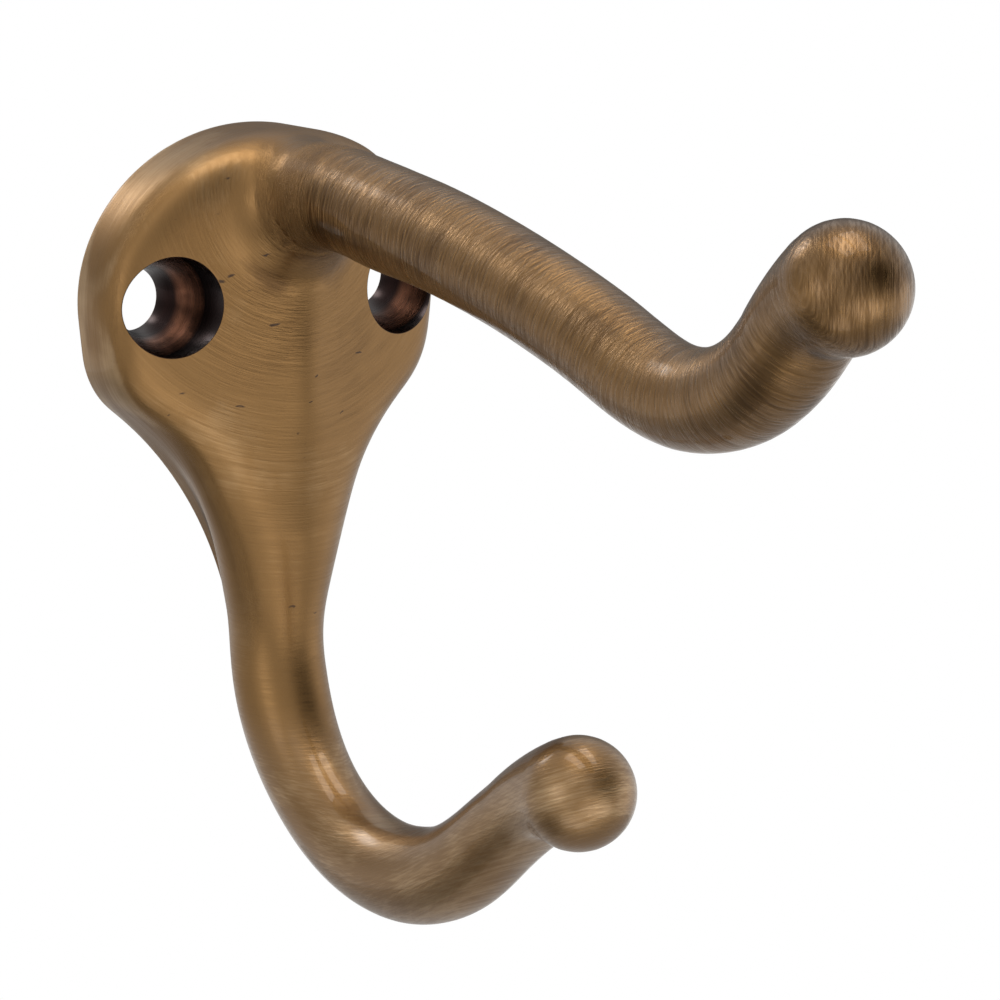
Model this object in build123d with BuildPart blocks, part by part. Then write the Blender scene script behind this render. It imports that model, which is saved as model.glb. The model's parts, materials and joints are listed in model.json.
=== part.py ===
"""Hat and coat hook: one brass casting with a screw plate, a long hat arm and a coat hook below it.

Millimetres. The origin is midway between the two screw holes, on the flat back that lies on the wall.
X runs to the right along the wall, Y into the wall, and Z up, so the front of the hook is at -Y.
"""
import os
from itertools import pairwise
from math import cos, radians, sqrt, tan

from build123d import *

# Screw holes: a bore, a conical seat and a straight recess for the screw's head
hole_spacing = 25.4
bore_diameter = 5.9
bore_length = 2.0
seat_height = 3.2
head_diameter = 9.3
edge_land = 1.05

# Plate outline: an elliptical crown, round shoulders and a waist that narrows to a tip
crown_height = 15.3
crown_drop_angle = 5.8
side_length = 3.3
shoulder_round = 8.0
shoulder_angle = 52.8
tip_half_width = 1.7
tip_angle = 11.0

# Front of the plate: two facets that fall away from a soft upright keel, with a rounded rim
keel_height = 10.3
keel_round = 6.0
facet_angle = 13.0
rim_round = 3.0

# Hat arm: it leaves the plate level, droops, turns up and ends in a knob
arm_top_step = 0.4
arm_start = 6.0
arm_droop_radius = 146.0
arm_droop = 21.8
arm_bend_radius = 18.0
arm_rise = 52.0
arm_tip_round = 16.8
arm_tip_turn = 28.8
arm_root_radius = 5.0
arm_root_round = 4.5
arm_root_sink = 0.5
arm_radius = 4.55
arm_tip_radius = 4.9
arm_knob_radius = 5.85

# Coat hook: it grows out of the waist, turns through a round bend and ends in a smaller knob
neck_radius = 4.45
neck_gap = 0.55
neck_inset = 1.1
neck_fullness = 1.6
neck_sink = 1.2
neck_proud = 0.1
hook_bend_radius = 19.75
hook_rise = 36.0
hook_run_length = 8.5
hook_tip_round = 17.3
hook_tip_turn = 28.9
hook_elbow_radius = 4.15
hook_belly_radius = 4.45
hook_tip_radius = 4.0
hook_knob_radius = 5.2

# Places along the waist, as shares of its length
neck_shares = (0.1, 0.25, 0.4, 0.55, 0.7, 0.85, 1.0)
tip_share = 0.35
rim_share = 0.62

# Places through the flare at the arm's root, as shares of its depth, and the most of its round that is used
root_shares = (0, 0.13, 0.27, 0.41, 0.56, 0.73, 1)
root_reach = 0.98

# Places along each bar, as shares of its length, and the bar's radius at some of them
arm_shares = (0.18, 0.26, 0.34, 0.42, 0.5, 0.57, 0.64, 0.7, 0.76, 0.82, 0.88, 0.94, 0.98)
arm_profile = (
    (0.0, arm_root_radius), (0.5, arm_radius), (0.72, arm_radius), (0.92, arm_tip_radius),
    (1.0, arm_tip_radius),
)
hook_shares = (0.1, 0.2, 0.3, 0.4, 0.5, 0.6, 0.68, 0.76, 0.84, 0.9, 0.96)
hook_profile = (
    (0.0, neck_radius), (0.3, hook_elbow_radius), (0.55, hook_belly_radius), (0.85, hook_tip_radius),
    (1.0, hook_tip_radius),
)

half_width = (hole_spacing + head_diameter) / 2 + edge_land
facet_slope = tan(radians(facet_angle))
eave_height = keel_height - half_width * facet_slope
keel_crest = keel_height - keel_round * (1 / cos(radians(facet_angle)) - 1)
arm_height = crown_height - arm_top_step - arm_root_radius
neck_crest = keel_crest + neck_proud
hook_depth = neck_radius + neck_gap


def blend(first, last, share):
    """Value between two others, with a level start and a level end."""
    return first + (last - first) * share * share * (3 - 2 * share)


def bar_radius(profile, share):
    """Radius of a bar at a share of its length."""
    for (start, first), (end, last) in pairwise(profile):
        if share <= end:
            return blend(first, last, (share - start) / (end - start))


def root_spread(start_depth, depth):
    """How far the round at the arm's root has spread at a depth, from none where it starts."""
    gap = min(max(start_depth - depth, 0), root_reach * arm_root_round)
    return arm_root_round - sqrt(arm_root_round**2 - gap**2)


with BuildPart() as coat_hook:
    # Plate with its keel, facets and rounded rim
    with BuildSketch(Plane.XZ):
        with BuildLine():
            crown = EllipticalCenterArc(
                (0, 0), half_width, crown_height,
                start_angle=-crown_drop_angle, arc_size=180 + 2 * crown_drop_angle,
            )
            side = Line(crown @ 0, crown @ 0 - crown % 0 * side_length)
            side_angle = (side % 1).get_angle(Vector(0, -1))
            shoulder = JernArc(side @ 1, side % 1, shoulder_round, side_angle - shoulder_angle)
            spread = cos(radians(tip_angle)) - cos(radians(shoulder_angle))
            waist_round = ((shoulder @ 1).X - tip_half_width) / spread
            waist = JernArc(shoulder @ 1, shoulder % 1, waist_round, shoulder_angle - tip_angle)
            mirror((side, shoulder, waist), about=Plane.YZ)
            tip = waist @ 1
            Line(tip, (-tip.X, tip.Y))
        make_face()
    extrude(amount=keel_height)
    with BuildSketch(Plane.XY) as roof:
        with BuildLine():
            Polyline(
                (half_width, 0), (half_width, -eave_height), (0, -keel_height),
                (-half_width, -eave_height), (-half_width, 0), close=True,
            )
        make_face()
        fillet(roof.vertices().sort_by(Axis.Y)[0], keel_round)
    extrude(amount=crown_height - tip.Y, both=True, mode=Mode.INTERSECT)
    split(bisect_by=Plane.XY.offset((waist @ rim_share).Y), keep=Keep.TOP)
    walls = coat_hook.faces().filter_by(lambda face: abs(face.normal_at().Y) < 0.01).sort_by(Axis.Z)[1:]
    front = coat_hook.faces().filter_by(lambda face: face.normal_at().Y < -0.5)
    fillet(front.edges() & walls.edges(), rim_round)

    # Coat hook: ovals that swell out of the waist and rounds along the bend, lofted into one bar
    for share in neck_shares:
        flank = waist @ share
        swell = (neck_radius - tip_half_width + neck_inset) * (1 - (1 - share) ** neck_fullness) - neck_inset
        if share < rim_share:
            crest = blend(keel_crest - neck_sink, neck_crest, share / rim_share)
        else:
            crest = blend(neck_crest, hook_depth + neck_radius, (share - rim_share) / (1 - rim_share))
        middle = (crest + neck_gap * share) / 2
        with BuildSketch(Plane((0, -middle, flank.Y), x_dir=(1, 0, 0), z_dir=(0, 0, -1))):
            Ellipse(flank.X + swell, crest - middle)
    with BuildLine(Plane.YZ) as hook_line:
        bend = JernArc((-hook_depth, tip.Y), (0, -1), hook_bend_radius, -(90 + hook_rise))
        run = Line(bend @ 1, bend @ 1 + bend % 1 * hook_run_length)
        hook_tip = JernArc(run @ 1, run % 1, hook_tip_round, hook_tip_turn)
    path = hook_line.wire()
    for share in hook_shares:
        with BuildSketch(Plane(path @ share, x_dir=(1, 0, 0), z_dir=path % share)):
            Circle(bar_radius(hook_profile, share))
    loft()
    with Locations(path @ 1):
        Sphere(hook_knob_radius)

    # Flat back of the waist, down to its tip
    with BuildSketch(Plane.XZ):
        with BuildLine():
            flank = waist.trim(tip_share, 1)
            add(flank)
            mirror(flank, about=Plane.YZ)
            for end in (flank @ 0, flank @ 1):
                Line(end, (-end.X, end.Y))
        make_face()
    extrude(amount=hook_depth)

    # Hat arm: ovals that flare into the keel and the facets, and rounds along the bar, lofted into one
    side_start = keel_height - (arm_root_radius + arm_root_round) * facet_slope
    root_back = side_start - arm_root_sink
    side_start += arm_root_round / cos(radians(facet_angle))
    keel_start = keel_crest + arm_root_round
    for share in root_shares:
        depth = root_back + (keel_start - root_back) * share
        wide = arm_root_radius + root_spread(side_start, depth)
        tall = max(wide, arm_root_radius + root_spread(keel_start, depth) / 2)
        middle = arm_height + arm_root_radius - tall
        with BuildSketch(Plane((0, -depth, middle), x_dir=(0, 0, 1), z_dir=(0, -1, 0))):
            Ellipse(tall, wide)
    with BuildLine(Plane.YZ) as arm_line:
        droop = JernArc((-arm_start, arm_height), (-1, 0), arm_droop_radius, arm_droop)
        rise = JernArc(droop @ 1, droop % 1, arm_bend_radius, -(arm_droop + arm_rise))
        arm_tip = JernArc(rise @ 1, rise % 1, arm_tip_round, arm_tip_turn)
    path = arm_line.wire()
    for share in arm_shares:
        heading = path % share
        with BuildSketch(Plane(path @ share, x_dir=heading.cross(Vector(1, 0, 0)), z_dir=heading)):
            Circle(bar_radius(arm_profile, share))
    loft()
    with Locations(path @ 1):
        Sphere(arm_knob_radius)

    # Screw holes
    for centre in (-hole_spacing / 2, hole_spacing / 2):
        with BuildSketch(Plane((centre, 0, 0), x_dir=(1, 0, 0), z_dir=(0, 0, 1))):
            Polygon(
                (0, 0), (bore_diameter / 2, 0), (bore_diameter / 2, -bore_length),
                (head_diameter / 2, -bore_length - seat_height), (head_diameter / 2, -keel_height),
                (0, -keel_height), align=None,
            )
        revolve(axis=Axis((centre, 0, 0), (0, 1, 0)), mode=Mode.SUBTRACT)

os.makedirs("parts", exist_ok=True)
coat_hook.part.label = "coat_hook"
export_step(coat_hook.part, "parts/coat_hook.step")
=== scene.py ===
"""Hat and coat hook: the finish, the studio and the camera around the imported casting.

Places and sizes are in metres, in the casting's own frame: X right along the wall, Y into it, Z up.
"""
import json
import logging
import math
from dataclasses import dataclass, field
from enum import Enum
from typing import Optional

import bmesh
import bpy
import numpy as np
from mathutils import Matrix, Vector


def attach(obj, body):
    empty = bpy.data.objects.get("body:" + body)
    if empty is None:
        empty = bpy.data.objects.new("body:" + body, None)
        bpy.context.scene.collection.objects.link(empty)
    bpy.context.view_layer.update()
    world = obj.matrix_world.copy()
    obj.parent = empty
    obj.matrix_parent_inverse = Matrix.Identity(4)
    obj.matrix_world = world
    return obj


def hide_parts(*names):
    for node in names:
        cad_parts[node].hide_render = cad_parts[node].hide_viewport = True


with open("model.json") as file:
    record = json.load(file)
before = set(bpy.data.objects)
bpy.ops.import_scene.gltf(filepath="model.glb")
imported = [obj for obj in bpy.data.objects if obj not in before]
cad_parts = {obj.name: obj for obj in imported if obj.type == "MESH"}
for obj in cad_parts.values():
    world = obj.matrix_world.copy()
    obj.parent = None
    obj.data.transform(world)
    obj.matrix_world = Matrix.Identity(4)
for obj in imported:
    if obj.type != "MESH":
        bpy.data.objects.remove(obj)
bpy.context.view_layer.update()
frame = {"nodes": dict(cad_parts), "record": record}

MM = 0.001
MASK_MIDDLE = 0.5
LOG = logging.getLogger("coat_hook")

Colour = tuple[float, float, float]
Point = tuple[float, float, float]
Socket = bpy.types.NodeSocket


class Mark(str, Enum):
    """Values that the casting's mesh carries for its finish."""

    BRUSH = "brush_place"
    # Bulge of each vertex, with a painted highlight added on the plate's side wall
    RELIEF_AND_WALL_HIGHLIGHT = "relief_and_wall_highlight"


class Zone(Enum):
    """Parts of the casting that are smoothed in their own way."""

    WAIST = "waist"
    ROOTS = "roots"
    RIM = "rim"


@dataclass(frozen=True)
class Fade:
    """A soft limit: a share that is 0 at its start and 1 at its end, with level ends."""

    start: float
    end: float

    def share(self, values: np.ndarray) -> np.ndarray:
        """Share at each of some values.

        Args:
            values: Values to look up.

        Returns:
            The shares, from 0 to 1.
        """
        share = np.clip((values - self.start) / (self.end - self.start), 0.0, 1.0)
        return share * share * (3.0 - 2.0 * share)


@dataclass(frozen=True)
class Arc:
    """A tangent arc of a bar's centre line, in the plane of Y and Z."""

    radius: float
    turn_deg: float


@dataclass
class BarLine:
    """Centre line of a round bar: a start, a heading and a chain of tangent arcs.

    A heading of 0 points out of the wall and 90 points up, and a positive turn is upwards.
    """

    start: tuple[float, float]
    heading_deg: float
    arcs: tuple[Arc, ...]
    step: float = 0.4 * MM
    rows_at_once: int = 4096
    points: np.ndarray = field(init=False)
    headings: np.ndarray = field(init=False)
    lengths: np.ndarray = field(init=False)

    def __post_init__(self) -> None:
        """Walk along the arcs in small steps."""
        place = np.array(self.start)
        angle = math.radians(self.heading_deg)
        points, headings = [place], [angle]
        for arc in self.arcs:
            turn = math.radians(arc.turn_deg)
            count = max(2, round(abs(turn) * arc.radius / self.step))
            for _ in range(count):
                middle = angle + turn / count / 2
                stride = 2 * arc.radius * math.sin(abs(turn) / count / 2)
                place = place + stride * np.array([-math.cos(middle), math.sin(middle)])
                angle += turn / count
                points.append(place)
                headings.append(angle)
        self.points = np.array(points)
        self.headings = np.array(headings)
        strides = np.linalg.norm(np.diff(self.points, axis=0), axis=1)
        self.lengths = np.concatenate([[0.0], np.cumsum(strides)])

    @property
    def end(self) -> np.ndarray:
        """Last point of the line, in Y and Z."""
        return self.points[-1]

    def _nearest(self, places: np.ndarray) -> np.ndarray:
        """Index of the line's nearest point for each place.

        Args:
            places: Points, one row each, in X, Y and Z.

        Returns:
            One index for each point.
        """
        nearest = np.empty(len(places), int)
        for first in range(0, len(places), self.rows_at_once):
            rows = slice(first, first + self.rows_at_once)
            gaps = places[rows, None, 1:] - self.points[None]
            nearest[rows] = np.einsum("ijk,ijk->ij", gaps, gaps).argmin(1)
        return nearest

    def outward(self, places: np.ndarray) -> np.ndarray:
        """Unit directions away from the line.

        Args:
            places: Points near the bar, one row each, in X, Y and Z.

        Returns:
            One direction for each point.
        """
        away = places.copy()
        away[:, 1:] -= self.points[self._nearest(places)]
        return away / np.linalg.norm(away, axis=1, keepdims=True)

    def straightened(self, places: np.ndarray) -> np.ndarray:
        """Where points would lie if the bar were pulled straight.

        Args:
            places: Points near the bar, one row each, in X, Y and Z.

        Returns:
            For each point, its distance along the bar, across it and above it.
        """
        nearest = self._nearest(places)
        offset = places[:, 1:] - self.points[nearest]
        angle = self.headings[nearest]
        ahead = -offset[:, 0] * np.cos(angle) + offset[:, 1] * np.sin(angle)
        above = offset[:, 0] * np.sin(angle) + offset[:, 1] * np.cos(angle)
        return np.column_stack([self.lengths[nearest] + ahead, places[:, 0], above])


@dataclass(frozen=True)
class FinishAreas:
    """Where the finish changes: soft limits in depth (Y) and in height (Z)."""

    back_skin: float = -0.02 * MM
    plate_depth: Fade = Fade(-16.0 * MM, -10.5 * MM)
    plate_foot: Fade = Fade(-43.0 * MM, -37.0 * MM)
    crown_height: Fade = Fade(7.0 * MM, 12.0 * MM)
    arm_depth: Fade = Fade(-7.0 * MM, -14.0 * MM)
    arm_foot: Fade = Fade(-8.0 * MM, -4.0 * MM)
    arm_rubbed: Fade = Fade(-82.0 * MM, -70.0 * MM)
    hook_height: Fade = Fade(-34.0 * MM, -40.0 * MM)
    bare_depth: Fade = Fade(-24.0 * MM, -15.0 * MM)
    nick_front: Fade = Fade(-12.5 * MM, -10.5 * MM)
    nick_back: Fade = Fade(-5.5 * MM, -6.5 * MM)
    seat_front: Fade = Fade(-5.5 * MM, -4.9 * MM)
    seat_back: Fade = Fade(-2.4 * MM, -3.6 * MM)
    recess_edge: Fade = Fade(0.07 * MM, 0.01 * MM)


@dataclass(frozen=True)
class AntiqueBrass:
    """Brushed brass with a brown patina under a clear lacquer.

    The patina's tone runs from 0 to 1: from shade to body, and then to scratch. Relief is per millimetre.
    Part of the tone is painted light: painted shade on the arm, painted light on the hook and on the plate's
    top, and a painted highlight on the plate's side wall.
    """

    areas: FinishAreas = FinishAreas()

    shade: Colour = (0.080, 0.043, 0.017)
    body: Colour = (0.178, 0.099, 0.038)
    scratch: Colour = (0.320, 0.212, 0.110)
    recess: Colour = (0.016, 0.008, 0.007)
    recess_patch: Colour = (0.300, 0.125, 0.070)
    pit: Colour = (0.030, 0.022, 0.020)

    body_tones: Fade = Fade(0.0, 0.5)
    scratch_tones: Fade = Fade(0.55, 1.05)
    least_tone: float = 0.15
    cloud_tone: float = 0.35
    streak_tone: float = 0.45
    # Painted shade darkens the arm, and painted light brightens the hook and the plate's top
    arm_shade_tone: float = -0.18
    hook_light_tone: float = 0.08
    crown_light_tone: float = 0.14
    # Worn edges are lighter as real wear, and the same share also lightens the plate's side wall as a painted
    # highlight
    worn_and_highlight_tone: float = 0.4
    sunk_tone: float = -0.45
    worn_and_highlight_relief: Fade = Fade(0.055, 0.11)
    sunk_relief: Fade = Fade(0.0, -0.05)

    clouds_per_metre: float = 95.0
    cloud_detail: float = 4.0
    patches_per_metre: float = 420.0
    patch_detail: float = 2.0
    least_seat_patch: float = 0.3
    nick_sets: tuple[tuple[Point, float], ...] = (
        ((0.0, 0.5, 0.0), 0.13), ((0.0, -0.9, 0.3), 0.135), ((0.0, 1.4, 0.6), 0.11),
    )
    nick_patches: Fade = Fade(0.15, 0.6)
    nick_cover: float = 0.85

    brush_per_mm: float = 5.2
    brush_stretch: float = 20.0
    brush_depth: float = 0.028 * MM
    brush_sets: tuple[tuple[float, float], ...] = ((1.0, 0.0), (0.7, 0.3), (0.8, -0.28))
    level_share: float = 0.55
    plate_calm: float = 0.72
    hook_calm: float = 0.3
    rubbed_relief: float = 1.2

    roughness: float = 0.38
    streak_gloss: float = 0.14
    arm_gloss: float = 0.08
    recess_roughness: float = 0.25

    lacquer: float = 0.5
    plate_lacquer: float = 0.05
    recess_lacquer: float = 0.5
    arm_lacquer_loss: float = 0.75
    streak_lacquer: float = 0.6
    lacquered_streaks: Fade = Fade(0.3, 0.62)
    lacquer_roughness: float = 0.06
    lacquer_ior: float = 1.4


class NodeSheet:
    """A node tree that nodes are added to from left to right."""

    def __init__(self, tree: bpy.types.NodeTree) -> None:
        """Keep the tree of a material, a world or a node group."""
        self.tree = tree

    def add(self, kind: str, values: Optional[dict] = None, **settings: object) -> bpy.types.Node:
        """Add a node and set it up.

        Args:
            kind: Blender's name of the node's type.
            values: Socket to its value, or to the socket that feeds it.
            settings: Properties of the node.

        Returns:
            The new node.
        """
        node = self.tree.nodes.new(kind)
        for name, setting in settings.items():
            setattr(node, name, setting)
        for socket, value in (values or {}).items():
            if isinstance(value, Socket):
                self.link(value, node.inputs[socket])
            else:
                node.inputs[socket].default_value = value
        return node

    def link(self, source: Socket, target: Socket) -> None:
        """Feed one socket from another."""
        self.tree.links.new(source, target)

    def place_group(self, group: bpy.types.NodeTree, values: dict) -> Socket:
        """Place a node group.

        Args:
            group: The group.
            values: Input to its value, or to the socket that feeds it.

        Returns:
            The socket of the group's one output.
        """
        return self.add("ShaderNodeGroup", values, node_tree=group).outputs[0]

    def maths(self, operation: str, *values: object, clamp: bool = False) -> Socket:
        """Result of a Math node.

        Args:
            operation: Blender's name of the operation.
            values: Numbers or sockets.
            clamp: Whether the result is kept between 0 and 1.

        Returns:
            The result's socket.
        """
        inputs = dict(enumerate(values))
        return self.add("ShaderNodeMath", inputs, operation=operation, use_clamp=clamp).outputs[0]

    def product(self, *values: object) -> Socket:
        """Product of two or more values.

        Args:
            values: Numbers or sockets.

        Returns:
            The product's socket.
        """
        result = values[0]
        for value in values[1:]:
            result = self.maths("MULTIPLY", result, value)
        return result

    def scaled(self, value: object, factor: object, offset: object, clamp: bool = False) -> Socket:
        """A value times a factor, plus an offset.

        Args:
            value: Number or socket.
            factor: Number or socket.
            offset: Number or socket.
            clamp: Whether the result is kept between 0 and 1.

        Returns:
            The result's socket.
        """
        return self.maths("MULTIPLY_ADD", value, factor, offset, clamp=clamp)

    def rest_of(self, share: Socket) -> Socket:
        """What a share leaves of 1."""
        return self.maths("SUBTRACT", 1.0, share)

    def damped(self, mask: Socket, share: Socket) -> Socket:
        """A mask drawn to its middle where a share is low.

        Args:
            mask: Mask from 0 to 1.
            share: How much of the mask's swing is kept.

        Returns:
            The new mask's socket.
        """
        return self.scaled(self.maths("SUBTRACT", mask, MASK_MIDDLE), share, MASK_MIDDLE)

    def fade(self, value: object, limit: Fade) -> Socket:
        """Share of a value within a soft limit.

        Args:
            value: Number or socket.
            limit: The limit.

        Returns:
            The share's socket.
        """
        inputs = {"Value": value, "From Min": limit.start, "From Max": limit.end}
        return self.add("ShaderNodeMapRange", inputs, interpolation_type="SMOOTHSTEP").outputs[0]

    def mix(self, share: Socket, first: object, second: object) -> Socket:
        """Mix of two colours.

        Args:
            share: 0 for the first colour and 1 for the second.
            first: Colour or socket.
            second: Colour or socket.

        Returns:
            The colour's socket.
        """
        node = self.add("ShaderNodeMix", {0: share}, data_type="RGBA")
        for index, value in ((6, first), (7, second)):
            if isinstance(value, Socket):
                self.link(value, node.inputs[index])
            else:
                node.inputs[index].default_value = (*value, 1.0)
        return node.outputs[2]


@dataclass
class Effects:
    """Shader node groups that the finish is made of, each built once."""

    streak_contrast: Fade = Fade(0.32, 0.70)
    mottle_contrast: Fade = Fade(0.3, 0.7)
    nick_bends_per_metre: float = 700.0
    nick_bend: float = 1.2 * MM
    nick_cells_per_metre: Point = (200.0, 60.0, 640.0)
    nick_gaps: float = 0.3
    least_nick: float = 0.3
    nick_edge: Fade = Fade(1.0, 0.55)
    streaks: bpy.types.NodeTree = field(init=False)
    mottle: bpy.types.NodeTree = field(init=False)
    nicks: bpy.types.NodeTree = field(init=False)

    def __post_init__(self) -> None:
        """Build the groups."""
        self.streaks = self._build_streaks()
        self.mottle = self._build_mottle()
        self.nicks = self._build_nicks()

    @staticmethod
    def _new_group(
        name: str, inputs: dict[str, str], output: str
    ) -> tuple[NodeSheet, bpy.types.NodeOutputs, Socket]:
        """Start a group with its sockets.

        Args:
            name: The group's name.
            inputs: Input name to its socket type.
            output: Name of its one value.

        Returns:
            The group's sheet, its inputs and the socket that its value goes to.
        """
        tree = bpy.data.node_groups.new(name, "ShaderNodeTree")
        for socket, kind in inputs.items():
            tree.interface.new_socket(socket, in_out="INPUT", socket_type=kind)
        tree.interface.new_socket(output, in_out="OUTPUT", socket_type="NodeSocketFloat")
        sheet = NodeSheet(tree)
        entry = sheet.add("NodeGroupInput")
        leave = sheet.add("NodeGroupOutput")
        return sheet, entry.outputs, leave.inputs[0]

    def _build_streaks(self) -> bpy.types.NodeTree:
        """Fine lines that run across a bar, slightly turned and broken up.

        Returns:
            The group, with a mask from 0 to 1.
        """
        inputs = {
            "Place": "NodeSocketVector", "Per mm": "NodeSocketFloat", "Stretch": "NodeSocketFloat",
            "Lean": "NodeSocketFloat",
        }
        sheet, given, mask = self._new_group("brush_streaks", inputs, "Mask")
        parts = sheet.add("ShaderNodeSeparateXYZ", {0: given["Place"]}).outputs
        sideways = sheet.maths("ADD", parts[1], parts[2])
        along = sheet.scaled(sideways, given["Lean"], parts[0])
        slow = sheet.maths("DIVIDE", given["Per mm"], given["Stretch"])
        line = sheet.add("ShaderNodeCombineXYZ", {
            0: sheet.product(along, given["Per mm"]),
            1: sheet.product(parts[1], slow),
            2: sheet.product(parts[2], slow),
        })
        noise = sheet.add("ShaderNodeTexNoise", {
            "Vector": line.outputs[0], "Scale": 1.0, "Detail": 3.0, "Roughness": 0.6, "Distortion": 0.25,
        })
        sheet.link(sheet.fade(noise.outputs[0], self.streak_contrast), mask)
        return sheet.tree

    def _build_mottle(self) -> bpy.types.NodeTree:
        """Cloudy unevenness of the patina.

        Returns:
            The group, with a mask from 0 to 1.
        """
        inputs = {"Place": "NodeSocketVector", "Per metre": "NodeSocketFloat", "Detail": "NodeSocketFloat"}
        sheet, given, mask = self._new_group("patina_mottle", inputs, "Mask")
        noise = sheet.add("ShaderNodeTexNoise", {
            "Vector": given["Place"], "Scale": given["Per metre"], "Detail": given["Detail"],
            "Roughness": 0.55,
        })
        sheet.link(sheet.fade(noise.outputs[0], self.mottle_contrast), mask)
        return sheet.tree

    def _build_nicks(self) -> bpy.types.NodeTree:
        """Sparse short nicks, each a crooked stroke.

        Returns:
            The group, with a mask from 0 to 1.
        """
        inputs = {"Place": "NodeSocketVector", "Turn": "NodeSocketVector", "Size": "NodeSocketFloat"}
        sheet, given, mask = self._new_group("short_nicks", inputs, "Mask")
        noise = sheet.add("ShaderNodeTexNoise", {
            "Vector": given["Place"], "Scale": self.nick_bends_per_metre, "Detail": 2.0,
        })
        bend = sheet.add("ShaderNodeVectorMath", {
            0: noise.outputs[1], 1: (self.nick_bend, self.nick_bend, self.nick_bend),
        }, operation="MULTIPLY")
        crooked = sheet.add("ShaderNodeVectorMath", {
            0: given["Place"], 1: bend.outputs[0],
        }, operation="ADD")
        turned = sheet.add("ShaderNodeMapping", {
            "Vector": crooked.outputs[0], "Rotation": given["Turn"], "Scale": self.nick_cells_per_metre,
        })
        cells = sheet.add("ShaderNodeTexVoronoi", {"Vector": turned.outputs[0], "Scale": 1.0})
        chance = sheet.add("ShaderNodeSeparateColor", {0: cells.outputs["Color"]}).outputs
        kept = sheet.maths("GREATER_THAN", chance[0], self.nick_gaps)
        length = sheet.scaled(chance[1], 1.0 - self.least_nick, self.least_nick)
        reach = sheet.product(given["Size"], length)
        close = sheet.fade(sheet.maths("DIVIDE", cells.outputs["Distance"], reach), self.nick_edge)
        sheet.link(sheet.product(close, kept), mask)
        return sheet.tree


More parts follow.
